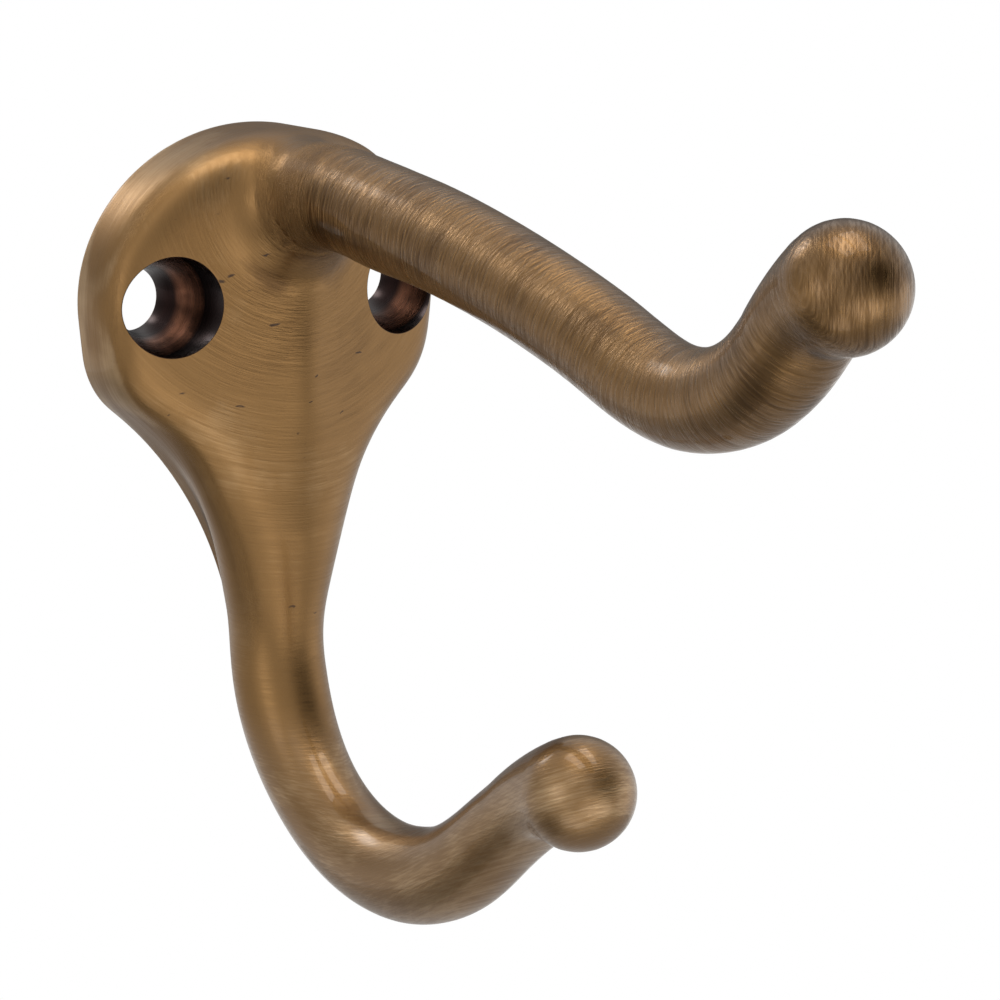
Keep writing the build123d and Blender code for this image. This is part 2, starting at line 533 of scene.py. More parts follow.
class BrassMaterial:
    """The casting's material: masks by place and shared effects that feed one shader."""

    def __init__(
        self, finish: AntiqueBrass, effects: Effects, hole_offset: float, head_radius: float
    ) -> None:
        """Build the material.

        Args:
            finish: Colours, gloss and limits.
            effects: Shared node groups.
            hole_offset: Distance of each screw hole from the middle.
            head_radius: Radius of each hole's recess.
        """
        self.finish = finish
        self.effects = effects
        self.material = bpy.data.materials.new("antique_brass")
        self.material.use_nodes = True
        self.sheet = NodeSheet(self.material.node_tree)
        self.place = self.sheet.add("ShaderNodeTexCoord").outputs["Object"]
        parts = self.sheet.add("ShaderNodeSeparateXYZ", {0: self.place}).outputs
        self.across, self.depth, self.height = parts
        self.front = self.sheet.maths("LESS_THAN", self.depth, finish.areas.back_skin)
        self._set_areas()
        self.recess = self._recess_mask(hole_offset, head_radius)
        self.streak = self._streak_mask()
        self.clouds = self._mottle_mask(finish.clouds_per_metre, finish.cloud_detail)
        self.patches = self._mottle_mask(finish.patches_per_metre, finish.patch_detail)
        self._feed_shader()

    def _feed_shader(self) -> None:
        """Link what changes over the surface to the shader, and set the rest on it."""
        inputs = self.material.node_tree.nodes["Principled BSDF"].inputs
        self.sheet.link(self._colour(), inputs["Base Color"])
        self.sheet.link(self._roughness(), inputs["Roughness"])
        self.sheet.link(self._normal(), inputs["Normal"])
        self.sheet.link(self._lacquer(), inputs["Coat Weight"])
        inputs["Metallic"].default_value = 1.0
        inputs["Coat Roughness"].default_value = self.finish.lacquer_roughness
        inputs["Coat IOR"].default_value = self.finish.lacquer_ior

    def _carried(self, mark: Mark, output: str) -> Socket:
        """Socket of a value that the mesh carries."""
        return self.sheet.add("ShaderNodeAttribute", attribute_name=mark.value).outputs[output]

    def _within(self, depth: Fade, height: Fade) -> Socket:
        """Mask of an area with one soft limit in depth and one in height."""
        return self.sheet.product(self.sheet.fade(self.depth, depth), self.sheet.fade(self.height, height))

    def _set_areas(self) -> None:
        """Make the masks of the casting's areas, of the worn edges together with the painted highlight on the
        side wall, and of what is sunk.
        """
        sheet, finish = self.sheet, self.finish
        areas = finish.areas
        self.plate = self._within(areas.plate_depth, areas.plate_foot)
        # The plate's top, which gets painted light in the tone
        self.lit_crown = sheet.product(self.plate, sheet.fade(self.height, areas.crown_height))
        self.arm = self._within(areas.arm_depth, areas.arm_foot)
        self.hook = sheet.fade(self.height, areas.hook_height)
        hook_calm = sheet.scaled(self.hook, -finish.hook_calm, 1.0)
        self.calm = sheet.scaled(self.plate, -finish.plate_calm, hook_calm)
        relief_and_wall_highlight = sheet.product(self._carried(Mark.RELIEF_AND_WALL_HIGHLIGHT, "Fac"), self.front)
        # Worn edges, together with the painted highlight on the side wall
        self.worn_and_highlit = sheet.fade(relief_and_wall_highlight, finish.worn_and_highlight_relief)
        self.sunk = sheet.fade(relief_and_wall_highlight, finish.sunk_relief)

    def _recess_mask(self, hole_offset: float, head_radius: float) -> Socket:
        """Mask of the screw holes' insides.

        Args:
            hole_offset: Distance of each screw hole from the middle.
            head_radius: Radius of each hole's recess.

        Returns:
            The mask's socket.
        """
        sheet = self.sheet
        sideways = sheet.maths("SUBTRACT", sheet.maths("ABSOLUTE", self.across), hole_offset)
        squares = sheet.maths(
            "ADD", sheet.product(sideways, sideways), sheet.product(self.height, self.height)
        )
        edge = self.finish.areas.recess_edge
        limit = Fade(head_radius + edge.start, head_radius + edge.end)
        return sheet.product(sheet.fade(sheet.maths("SQRT", squares), limit), self.front)

    def _streak_mask(self) -> Socket:
        """Brushed lines, level ones and crossing ones, with none on the flat back.

        Returns:
            The mask's socket.
        """
        sheet, finish = self.sheet, self.finish
        brush = self._carried(Mark.BRUSH, "Vector")
        level, first, second = (
            sheet.place_group(self.effects.streaks, {
                "Place": brush, "Per mm": finish.brush_per_mm * density, "Stretch": finish.brush_stretch,
                "Lean": lean,
            })
            for density, lean in finish.brush_sets
        )
        crossed = sheet.product(sheet.maths("ADD", first, second), (1.0 - finish.level_share) / 2)
        return sheet.damped(sheet.scaled(level, finish.level_share, crossed), self.front)

    def _mottle_mask(self, per_metre: float, detail: float) -> Socket:
        """Cloudy mask over the whole casting.

        Args:
            per_metre: Number of clouds to a metre.
            detail: How broken up they are.

        Returns:
            The mask's socket.
        """
        values = {"Place": self.place, "Per metre": per_metre, "Detail": detail}
        return self.sheet.place_group(self.effects.mottle, values)

    def _nick_mask(self) -> Socket:
        """Nicks in patches on the front of the plate.

        Returns:
            The mask's socket.
        """
        sheet, finish = self.sheet, self.finish
        nick: object = 0.0
        for turn, size in finish.nick_sets:
            values = {"Place": self.place, "Turn": turn, "Size": size}
            nick = sheet.maths("MAXIMUM", nick, sheet.place_group(self.effects.nicks, values))
        return sheet.product(
            nick, sheet.fade(self.patches, finish.nick_patches),
            sheet.fade(self.depth, finish.areas.nick_front), sheet.fade(self.depth, finish.areas.nick_back),
        )

    def _tone(self) -> Socket:
        """Tone of the surface colour: the patina from 0 in its darkest places to 1 where it is scratched
        bright, with painted shade on the arm, painted light on the hook and the plate's top, and a painted
        highlight on the side wall.

        Returns:
            The tone's socket.
        """
        sheet, finish = self.sheet, self.finish
        tone = sheet.scaled(self.clouds, finish.cloud_tone, finish.least_tone)
        for mask, share in (
            # The arm's share is painted shade, the hook's and the top's are painted light, and the worn share
            # carries a painted highlight on the side wall
            (sheet.damped(self.streak, self.calm), finish.streak_tone), (self.arm, finish.arm_shade_tone),
            (self.hook, finish.hook_light_tone), (self.lit_crown, finish.crown_light_tone), (self.worn_and_highlit, finish.worn_and_highlight_tone),
        ):
            tone = sheet.scaled(mask, share, tone)
        return sheet.scaled(self.sunk, finish.sunk_tone, tone, clamp=True)

    def _colour(self) -> Socket:
        """Colour of the patina with its nicks, and of the recesses with lighter reddish-brown patches on the
        front of each seat.

        Returns:
            The colour's socket.
        """
        sheet, finish = self.sheet, self.finish
        tone = self._tone()
        colour = sheet.mix(sheet.fade(tone, finish.body_tones), finish.shade, finish.body)
        colour = sheet.mix(sheet.fade(tone, finish.scratch_tones), colour, finish.scratch)
        colour = sheet.mix(sheet.product(self._nick_mask(), finish.nick_cover), colour, finish.pit)
        # Lighter reddish-brown patches on the front band of each seat
        seat_patches = sheet.product(
            sheet.fade(self.depth, finish.areas.seat_front), sheet.fade(self.depth, finish.areas.seat_back),
            sheet.scaled(self.patches, 1.0 - finish.least_seat_patch, finish.least_seat_patch),
        )
        return sheet.mix(self.recess, colour, sheet.mix(seat_patches, finish.recess, finish.recess_patch))

    def _roughness(self) -> Socket:
        """Roughness, lower on the lines, on the arm and in the recesses.

        Returns:
            The roughness's socket.
        """
        sheet, finish = self.sheet, self.finish
        rough = sheet.scaled(self.streak, -finish.streak_gloss, finish.roughness + finish.streak_gloss / 2)
        rough = sheet.scaled(self.recess, finish.recess_roughness - finish.roughness, rough)
        return sheet.scaled(self.arm, -finish.arm_gloss, rough)

    def _normal(self) -> Socket:
        """Normals that the brushed lines tilt, most of all where the arm is rubbed.

        Returns:
            The normal's socket.
        """
        sheet, finish = self.sheet, self.finish
        rubbed = sheet.product(self.arm, sheet.fade(self.depth, finish.areas.arm_rubbed))
        strength = sheet.scaled(rubbed, finish.rubbed_relief, self.calm)
        height = sheet.product(self.streak, sheet.rest_of(self.recess), strength)
        bump = sheet.add("ShaderNodeBump", {
            "Strength": 1.0, "Distance": finish.brush_depth, "Height": height,
        })
        return bump.outputs[0]

    def _lacquer(self) -> Socket:
        """Weight of the lacquer, thin on the plate and broken between the arm's lines.

        Returns:
            The weight's socket.
        """
        sheet, finish = self.sheet, self.finish
        bare = sheet.product(
            self._within(finish.areas.bare_depth, finish.areas.plate_foot), sheet.rest_of(self.worn_and_highlit)
        )
        coat = sheet.scaled(bare, finish.plate_lacquer - finish.lacquer, finish.lacquer)
        held = sheet.fade(self.streak, finish.lacquered_streaks)
        loss = sheet.product(self.arm, sheet.scaled(held, -finish.streak_lacquer, finish.arm_lacquer_loss))
        coat = sheet.maths("MULTIPLY", coat, sheet.rest_of(loss), clamp=True)
        return sheet.product(coat, sheet.scaled(self.recess, finish.recess_lacquer - 1.0, 1.0))


@dataclass(frozen=True)
class JoinBlends:
    """How the casting's joins are softened: soft limits in depth (Y) and height (Z), and rounds of smoothing.

    Reach is measured from the arm's axis for its root, and from the plate's edge for its rim.
    """

    front: Fade = Fade(-2.0 * MM, -4.0 * MM)
    root_reach: Fade = Fade(14.0 * MM, 9.0 * MM)
    root_back: Fade = Fade(-5.0 * MM, -7.5 * MM)
    root_front: Fade = Fade(-24.0 * MM, -18.0 * MM)
    root_underside: Fade = Fade(6.0 * MM, 2.0 * MM)
    root_underside_loss: float = 0.6
    neck_top: Fade = Fade(-9.0 * MM, -13.0 * MM)
    neck_foot: Fade = Fade(-36.0 * MM, -31.0 * MM)
    neck_front: Fade = Fade(-22.0 * MM, -16.0 * MM)
    waist_top: Fade = Fade(-11.0 * MM, -15.0 * MM)
    waist_foot: Fade = Fade(-36.0 * MM, -32.0 * MM)
    waist_front: Fade = Fade(-18.0 * MM, -14.0 * MM)
    waist_axis: Point = (0.0, 2.0 * MM, 0.0)
    rim_reach: Fade = Fade(7.0 * MM, 4.0 * MM)
    rim_back: Fade = Fade(-1.0 * MM, -4.5 * MM)
    rim_front: Fade = Fade(-15.0 * MM, -12.0 * MM)
    rim_foot: Fade = Fade(-14.0 * MM, -8.0 * MM)
    rim_off_root: Fade = Fade(10.0 * MM, 13.0 * MM)
    rim_wall: float = -3.0 * MM
    rim_low_mm: float = -14.0
    rim_high_mm: float = 15.0
    rim_row_mm: float = 0.5
    knob_round: float = 35.0 * MM
    knob_notch: Fade = Fade(-0.95, -0.6)
    root_rounds: int = 60
    rim_rounds: int = 50
    first_pairs: int = 10
    last_pairs: int = 4
    pull: float = 0.6
    push: float = -0.57
    fill_rounds: int = 500
    fill_pull: float = 0.7
    fill_floor: float = 0.002 * MM


@dataclass(frozen=True)
class BrushPattern:
    """Which way the casting is brushed, with soft limits between one way and the next.

    The plate is brushed round the arm's root, the arm and the hook across, and the upper knob upright.
    The wall highlight is a painted highlight on the plate's side wall: a height in millimetres and the relief
    per millimetre that it adds there.
    """

    swirl: float = 10.0 * MM
    wall_lean: Fade = Fade(0.55, 0.25)
    arm_foot: float = -12.0 * MM
    arm_depth: Fade = Fade(-11.0 * MM, -17.0 * MM)
    arm_density: float = 0.75
    hook_height: Fade = Fade(-24.0 * MM, -34.0 * MM)
    tip_tilt_deg: float = 23.0
    tip_run: Fade = Fade(14.0 * MM, 42.0 * MM)
    knob_reach: float = 12.0 * MM
    knob_run: Fade = Fade(-9.0 * MM, 2.0 * MM)
    knob_lengthwise: Point = (0.8, -0.6, 0.0)
    knob_crosswise: Point = (0.6, 0.8, 0.0)
    relief_rounds: int = 12
    relief_stride: float = 3.0
    hole_margin: float = 1.0 * MM
    # Painted highlight on the plate's side wall, by height
    wall_highlight: tuple[tuple[float, float], ...] = ((-16.0, 0.0), (-9.0, 0.06), (2.0, 0.06), (8.0, 0.0))
    wall_highlight_depth: float = -8.0 * MM


@dataclass
class HookCasting:
    """The whole hook: screw plate, hat arm and coat hook, cast as one."""

    node: str = "coat_hook"
    slot: str = "antique_brass"
    arm: BarLine = field(default_factory=lambda: BarLine(
        (-6.0 * MM, 9.9 * MM), 0.0,
        (Arc(146.0 * MM, -21.8), Arc(18.0 * MM, 73.8), Arc(16.8 * MM, -28.8)),
    ))
    hook: BarLine = field(default_factory=lambda: BarLine(
        (-5.0 * MM, -31.27 * MM), -90.0,
        (Arc(19.75 * MM, 126.0), Arc(4870.0 * MM, -0.1), Arc(17.3 * MM, -28.8)),
    ))
    arm_knob_radius: float = 5.85 * MM
    hook_knob_radius: float = 5.2 * MM
    arm_tip_radius: float = 4.9 * MM
    hook_tip_radius: float = 4.0 * MM
    crown_height: float = 15.3 * MM
    keel_height: float = 10.3 * MM
    facet_angle: float = 13.0
    bore_radius: float = 2.95 * MM
    bore_length: float = 2.0 * MM
    seat_height: float = 3.2 * MM
    head_radius: float = 4.65 * MM
    hole_sides: int = 96
    plug_sides: int = 64
    plug_spare: float = 0.02 * MM
    cut_spare: float = 1.0 * MM
    back_spare: float = 2.5 * MM
    back_cut: tuple[float, float] = (60.0 * MM, 120.0 * MM)
    back_cut_height: float = -20.0 * MM
    voxel: float = 0.34 * MM
    weld_gap: float = 0.001 * MM
    crease_angle: float = 40.0
    joins: JoinBlends = JoinBlends()
    brushing: BrushPattern = BrushPattern()

    @property
    def hole_offset(self) -> float:
        """Distance of each screw hole from the middle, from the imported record."""
        mounts = {mount["name"]: mount for mount in frame["record"]["mounts"]}
        return mounts["screw_holes"]["dims"]["spacing_x_mm"] / 2 * MM

    def build(self, finish: AntiqueBrass, effects: Effects) -> bpy.types.Object:
        """Make the casting's mesh, mark it, dress it and put it in the frame.

        Args:
            finish: Its finish.
            effects: Node groups for the finish.

        Returns:
            The finished piece.
        """
        mesh = self._remeshed()
        places = self._smoothed(self._read_places(mesh), self._read_edges(mesh))
        mesh.vertices.foreach_set("co", places.astype(np.float32).ravel())
        mesh = self._drilled(self._cut_back(mesh))
        mesh.polygons.foreach_set("use_smooth", np.ones(len(mesh.polygons), bool))
        mesh.set_sharp_from_angle(angle=math.radians(self.crease_angle))
        mesh.update()
        self._mark(mesh)
        mesh.materials.clear()
        mesh.materials.append(BrassMaterial(finish, effects, self.hole_offset, self.head_radius).material)
        piece = bpy.data.objects.new("hook_casting", mesh)
        bpy.context.scene.collection.objects.link(piece)
        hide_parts(self.node)
        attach(piece, "root")
        return piece

    def _remeshed(self) -> bpy.types.Mesh:
        """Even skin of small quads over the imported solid.

        Returns:
            A new mesh.
        """
        mesh = frame["nodes"][self.node].data.copy()
        skin = bmesh.new()
        skin.from_mesh(mesh)
        bmesh.ops.remove_doubles(skin, verts=skin.verts, dist=self.weld_gap)
        for vertex in skin.verts:
            if vertex.co.y > -self.weld_gap:
                vertex.co.y = self.back_spare
        for side in (-1, 1):
            self._add_plug(skin, side * self.hole_offset)
        skin.to_mesh(mesh)
        skin.free()
        holder = bpy.data.objects.new("skin_holder", mesh)
        bpy.context.scene.collection.objects.link(holder)
        remesh = holder.modifiers.new("skin", "REMESH")
        remesh.mode = "VOXEL"
        remesh.voxel_size = self.voxel
        made = self._evaluated(holder)
        bpy.data.objects.remove(holder)
        bpy.data.meshes.remove(mesh)
        return made

    @staticmethod
    def _evaluated(holder: bpy.types.Object) -> bpy.types.Mesh:
        """New mesh of an object with its modifiers applied."""
        return bpy.data.meshes.new_from_object(holder.evaluated_get(bpy.context.evaluated_depsgraph_get()))

    def _add_plug(self, skin: bmesh.types.BMesh, centre: float) -> None:
        """Fill a screw hole up to the facet, so that its edge is cut after the smoothing.

        Args:
            skin: Mesh to add to.
            centre: Place of the hole along X.
        """
        slope = math.tan(math.radians(self.facet_angle))
        radius = self.head_radius + self.plug_spare
        backs, fronts = [], []
        for step in range(self.plug_sides):
            angle = 2 * math.pi * step / self.plug_sides
            x = centre + radius * math.cos(angle)
            z = radius * math.sin(angle)
            backs.append(skin.verts.new((x, self.back_spare, z)))
            fronts.append(skin.verts.new((x, abs(x) * slope - self.keel_height, z)))
        for step in range(self.plug_sides):
            after = (step + 1) % self.plug_sides
            skin.faces.new((backs[step], fronts[step], fronts[after], backs[after]))
        skin.faces.new(backs)
        skin.faces.new(fronts[::-1])

    def _cut_back(self, mesh: bpy.types.Mesh) -> bpy.types.Mesh:
        """Mesh with its back cut flat on the wall's plane.

        Args:
            mesh: The smoothed skin, which is used up.

        Returns:
            A new mesh.
        """
        spare = 2 * self.back_spare
        width, height = self.back_cut
        cutter = bmesh.new()
        bmesh.ops.create_cube(cutter, size=1.0, matrix=Matrix.LocRotScale(
            Vector((0.0, spare / 2, self.back_cut_height)), None, Vector((width, spare, height))
        ))
        return self._without(mesh, cutter)

    def _drilled(self, mesh: bpy.types.Mesh) -> bpy.types.Mesh:
        """Mesh with both screw holes cut, each a bore, a conical seat and a recess.

        Args:
            mesh: The skin, which is used up.

        Returns:
            A new mesh.
        """
        profile = (
            (self.back_spare / 2, self.bore_radius),
            (-self.bore_length, self.bore_radius),
            (-self.bore_length - self.seat_height, self.head_radius),
            (-self.keel_height - self.cut_spare, self.head_radius),
        )
        cutter = bmesh.new()
        for side in (-1, 1):
            rings = []
            for depth, radius in profile:
                ring = []
                for step in range(self.hole_sides):
                    angle = 2 * math.pi * step / self.hole_sides
                    x = side * self.hole_offset + radius * math.cos(angle)
                    ring.append(cutter.verts.new((x, depth, radius * math.sin(angle))))
                rings.append(ring)
            for first, second in zip(rings, rings[1:]):
                for step in range(self.hole_sides):
                    after = (step + 1) % self.hole_sides
                    cutter.faces.new((first[step], second[step], second[after], first[after]))
            cutter.faces.new(rings[0])
            cutter.faces.new(rings[-1][::-1])
        bmesh.ops.recalc_face_normals(cutter, faces=cutter.faces)
        return self._without(mesh, cutter)

    def _without(self, mesh: bpy.types.Mesh, cutter: bmesh.types.BMesh) -> bpy.types.Mesh:
        """What is left of a mesh outside a closed cutter.

        Args:
            mesh: Closed mesh, which is used up.
            cutter: Closed mesh to take away, which is used up.

        Returns:
            A new mesh.
        """
        tool_mesh = bpy.data.meshes.new("cutter")
        cutter.to_mesh(tool_mesh)
        cutter.free()
        tool = bpy.data.objects.new("cutter", tool_mesh)
        holder = bpy.data.objects.new("skin_holder", mesh)
        for item in (tool, holder):
            bpy.context.scene.collection.objects.link(item)
        cut = holder.modifiers.new("cut", "BOOLEAN")
        cut.object = tool
        cut.operation = "DIFFERENCE"
        cut.solver = "MANIFOLD"
        made = self._evaluated(holder)
        for item in (tool, holder):
            bpy.data.objects.remove(item)
        for item in (tool_mesh, mesh):
            bpy.data.meshes.remove(item)
        made.name = "hook_casting"
        return made

    @staticmethod
    def _read_places(mesh: bpy.types.Mesh) -> np.ndarray:
        """Vertex positions, one row each."""
        flat = np.empty(len(mesh.vertices) * 3, np.float32)
        mesh.vertices.foreach_get("co", flat)
        return flat.reshape(-1, 3).astype(float)

    @staticmethod
    def _read_edges(mesh: bpy.types.Mesh) -> np.ndarray:
        """Vertex pairs of the edges, one row each."""
        flat = np.empty(len(mesh.edges) * 2, np.int32)
        mesh.edges.foreach_get("vertices", flat)
        return flat.reshape(-1, 2)

    @staticmethod
    def _read_normals(mesh: bpy.types.Mesh) -> np.ndarray:
        """Vertex normals, one row each."""
        flat = np.empty(len(mesh.vertices) * 3, np.float32)
        mesh.vertex_normals.foreach_get("vector", flat)
        return flat.reshape(-1, 3)

    @staticmethod
    def _neighbour_mean(values: np.ndarray, edges: np.ndarray) -> np.ndarray:
        """Mean of the neighbours' values at each vertex.

        Args:
            values: One row for each vertex.
            edges: Vertex pairs.

        Returns:
            The means, in the same form as the values.
        """
        count = len(values)
        ends = np.concatenate([edges[:, 0], edges[:, 1]])
        others = np.concatenate([edges[:, 1], edges[:, 0]])
        degree = np.bincount(ends, minlength=count)
        sums = [np.bincount(ends, values[others, column], count) for column in range(values.shape[1])]
        return np.column_stack([total / degree for total in sums])

    def _zone_shares(self, places: np.ndarray) -> dict[Zone, np.ndarray]:
        """How much each vertex takes part in each kind of smoothing.

        Args:
            places: Vertex positions.

        Returns:
            Zone to a share from 0 to 1 for each vertex.
        """
        joins = self.joins
        across, depth, height = places.T
        on_front = joins.front.share(depth)
        axis_gap = np.hypot(across, height - self.arm.start[1])
        root = joins.root_reach.share(axis_gap) * joins.root_back.share(depth)
        root *= 1.0 - joins.root_underside_loss * joins.root_underside.share(height)
        root *= joins.root_front.share(depth)
        neck = joins.neck_top.share(height) * joins.neck_foot.share(height)
        neck *= joins.neck_front.share(depth) * on_front
        waist = joins.waist_top.share(height) * joins.waist_foot.share(height)
        waist *= joins.waist_front.share(depth) * on_front
        return {
            Zone.RIM: self._rim_shares(places) * joins.rim_off_root.share(axis_gap),
            Zone.WAIST: waist,
            Zone.ROOTS: np.maximum(root, neck),
        }

    def _rim_shares(self, places: np.ndarray) -> np.ndarray:
        """How close each vertex lies to the plate's front edge, from 0 to 1.

        Args:
            places: Vertex positions.

        Returns:
            One share for each vertex.
        """
        joins = self.joins
        across, depth, height = places.T
        levels = np.arange(joins.rim_low_mm, joins.rim_high_mm, joins.rim_row_mm) * MM
        rows = np.abs(height[None] - levels[:, None]) < joins.rim_row_mm * MM
        near_wall = rows & (depth[None] > joins.rim_wall)
        widths = np.where(near_wall, np.abs(across[None]), 0.0).max(axis=1)
        beside = np.interp(height, levels, widths) - np.abs(across)
        crown_share = np.hypot(across / widths.max(), height / self.crown_height)
        edge_gap = np.where(height > 0.0, (1.0 - crown_share) * self.crown_height, beside)
        shares = joins.rim_reach.share(edge_gap) * joins.rim_back.share(depth)
        return shares * joins.rim_front.share(depth) * joins.rim_foot.share(height)

    def _with_knob_rounds(self, places: np.ndarray) -> np.ndarray:
        """Positions with a long round from each bar to its knob, except on the underside.

        Args:
            places: Vertex positions.

        Returns:
            The new positions.
        """
        places = places.copy()
        bend = self.joins.knob_round
        for line, knob, bar in (
            (self.arm, self.arm_knob_radius, self.arm_tip_radius),
            (self.hook, self.hook_knob_radius, self.hook_tip_radius),
        ):
            along, across, above = line.straightened(places).T
            girth = np.hypot(across, above)
            start = math.sqrt((knob + bend) ** 2 - (bar + bend) ** 2)
            run = along - line.lengths[-1] + start
            inside = (run > 0.0) & (run < start * bend / (knob + bend)) & (girth < 2 * knob)
            rise = bend - np.sqrt(np.maximum(bend**2 - run**2, 0.0))
            gain = np.where(inside, np.maximum(bar + rise - girth, 0.0), 0.0)
            gain *= self.joins.knob_notch.share(above / bar)
            places += gain[:, None] * line.outward(places)
        return places

    def _waist_outward(self, places: np.ndarray) -> np.ndarray:
        """Unit directions away from an upright line inside the waist."""
        away = places * np.array([1.0, 1.0, 0.0]) + np.array(self.joins.waist_axis)
        return away / np.linalg.norm(away, axis=1, keepdims=True)

    def _filled(
        self, places: np.ndarray, edges: np.ndarray, shares: np.ndarray, outward: np.ndarray
    ) -> np.ndarray:
        """Positions with hollows filled and nothing worn away.

        Args:
            places: Vertex positions.
            edges: Vertex pairs.
            shares: How much each vertex takes part.
            outward: Direction in which each vertex may move.

        Returns:
            The new positions.
        """
        joins = self.joins
        touching = edges[(shares[edges] > 0.0).any(axis=1)]
        used, ends = np.unique(touching, return_inverse=True)
        pairs = ends.reshape(-1, 2)
        part, outward = places[used], outward[used]
        pull = joins.fill_pull * shares[used, None]
        for _ in range(joins.fill_rounds):
            rise = ((self._neighbour_mean(part, pairs) - part) * outward).sum(1, keepdims=True)
            part = part + pull * np.maximum(rise - joins.fill_floor, 0.0) * outward
        filled = places.copy()
        filled[used] = part
        return filled

    def _evened(self, places: np.ndarray, edges: np.ndarray, pairs: int) -> np.ndarray:
        """Positions with the skin's steps gone and its volume kept.

        Args:
            places: Vertex positions.
            edges: Vertex pairs.
            pairs: How often the vertices are pulled in and pushed out again.

        Returns:
            The new positions.
        """
        for _ in range(pairs):
            for pull in (self.joins.pull, self.joins.push):
                places = places + pull * (self._neighbour_mean(places, edges) - places)
        return places

    def _smoothed(self, places: np.ndarray, edges: np.ndarray) -> np.ndarray:
        """Positions with the skin's steps gone and the joins blended as in a casting.

        Args:
            places: Vertex positions.
            edges: Vertex pairs.

        Returns:
            The new positions.
        """
        joins = self.joins
        shares = self._zone_shares(places)
        for zone, rounds in ((Zone.ROOTS, joins.root_rounds), (Zone.RIM, joins.rim_rounds)):
            pull = joins.pull * shares[zone][:, None]
            for _ in range(rounds):
                places = places + pull * (self._neighbour_mean(places, edges) - places)
        places = self._with_knob_rounds(self._evened(places, edges, joins.first_pairs))
        places = self._filled(places, edges, shares[Zone.WAIST], self._waist_outward(places))
        return self._evened(places, edges, joins.last_pairs)

    def _mark(self, mesh: bpy.types.Mesh) -> None:
        """Write what the finish needs to know onto the mesh, in millimetres.

        Args:
            mesh: The casting's mesh.
        """
        places, normals = self._read_places(mesh), self._read_normals(mesh)
        wall_share = self.brushing.wall_lean.share(np.abs(normals[:, 1]))[:, None]
        brush = self._brush_places(places, wall_share) / MM
        layer = mesh.attributes.new(Mark.BRUSH.value, "FLOAT_VECTOR", "POINT")
        layer.data.foreach_set("vector", brush.astype(np.float32).ravel())
        relief_and_wall_highlight = self._relief_and_wall_highlight(places, normals, self._read_edges(mesh), wall_share) * MM
        layer = mesh.attributes.new(Mark.RELIEF_AND_WALL_HIGHLIGHT.value, "FLOAT", "POINT")
        layer.data.foreach_set("value", relief_and_wall_highlight.astype(np.float32).ravel())

    def _brush_places(self, places: np.ndarray, wall_share: np.ndarray) -> np.ndarray:
        """Where each vertex lies in the brushing.

        Args:
            places: Vertex positions.
            wall_share: How much each vertex belongs to the plate's side wall.

        Returns:
            For each vertex, its place across the lines and in the two directions along them.
        """
        pattern = self.brushing
        across, depth, height = places.T
        above_axis = height - self.arm.start[1]
        turn = np.arctan2(across, above_axis)
        reach = np.hypot(across, above_axis)
        on_plate = np.column_stack([reach, pattern.swirl * np.cos(turn), pattern.swirl * np.sin(turn)])
        on_wall = on_plate.copy()
        on_wall[:, 0] = depth
        on_arm = self.arm.straightened(places)
        on_knob = np.column_stack([
            places @ np.array(pattern.knob_lengthwise), places @ np.array(pattern.knob_crosswise), height,
        ])
        arm_share = np.where(height > pattern.arm_foot, pattern.arm_depth.share(depth), 0.0)
        near_knob = np.hypot(depth - self.arm.end[0], height - self.arm.end[1]) < pattern.knob_reach
        knob_share = near_knob * pattern.knob_run.share(on_arm[:, 0] - self.arm.lengths[-1])
        brush = on_plate * (1 - wall_share) + on_wall * wall_share
        for way, share in (
            (pattern.arm_density * on_arm, arm_share),
            (self._hook_brush(places), pattern.hook_height.share(height)),
            (on_knob, knob_share),
        ):
            brush = brush * (1 - share[:, None]) + way * share[:, None]
        return brush

    def _hook_brush(self, places: np.ndarray) -> np.ndarray:
        """Brushing of the coat hook, level on its neck and tilted along its tip.

        Args:
            places: Vertex positions.

        Returns:
            For each vertex, its place across the lines and in the two directions along them.
        """
        pattern = self.brushing
        along = self.hook.straightened(places)[:, 0]
        tilt = math.radians(pattern.tip_tilt_deg) * pattern.tip_run.share(along)
        bend = self.hook.arcs[0].radius
        out = places[:, 1] - (self.hook.start[0] - bend)
        up = places[:, 2] - (self.hook.start[1] - bend)
        crossing = up * np.cos(tilt) + out * np.sin(tilt)
        following = out * np.cos(tilt) - up * np.sin(tilt)
        start = self.arm.start[1] - self.hook.start[1] + bend
        return np.column_stack([start - crossing, places[:, 0], following])

    def _relief_and_wall_highlight(
        self, places: np.ndarray, normals: np.ndarray, edges: np.ndarray, wall_share: np.ndarray
    ) -> np.ndarray:
        """How far each vertex bulges out of its surroundings, above 0 on edges and below 0 in hollows, plus a
        painted highlight on the plate's side wall.

        Args:
            places: Vertex positions.
            normals: Vertex normals.
            edges: Vertex pairs, of which the long ones across the flat back are left out.
            wall_share: How much each vertex belongs to the plate's side wall.

        Returns:
            One row for each vertex, per metre.
        """
        pattern = self.brushing
        across, depth, height = places.T
        strides = np.linalg.norm(places[edges[:, 0]] - places[edges[:, 1]], axis=1)
        edges = edges[strides < pattern.relief_stride * self.voxel]
        offsets = places - self._neighbour_mean(places, edges)
        bulge = (offsets * normals).sum(1, keepdims=True) / self.voxel**2
        hole_gap = np.hypot(np.abs(across) - self.hole_offset, height)
        bulge[hole_gap < self.head_radius + pattern.hole_margin] = 0.0
        for _ in range(pattern.relief_rounds):
            bulge = self._neighbour_mean(bulge, edges)
        # Painted highlight on the side wall, added to the bulge so that the wall takes the lighter worn tone
        heights, amounts = zip(*pattern.wall_highlight)
        wall_highlight_amount = np.interp(height / MM, heights, amounts) / MM
        return bulge + np.where(depth > pattern.wall_highlight_depth, wall_highlight_amount, 0.0)[:, None] * wall_share


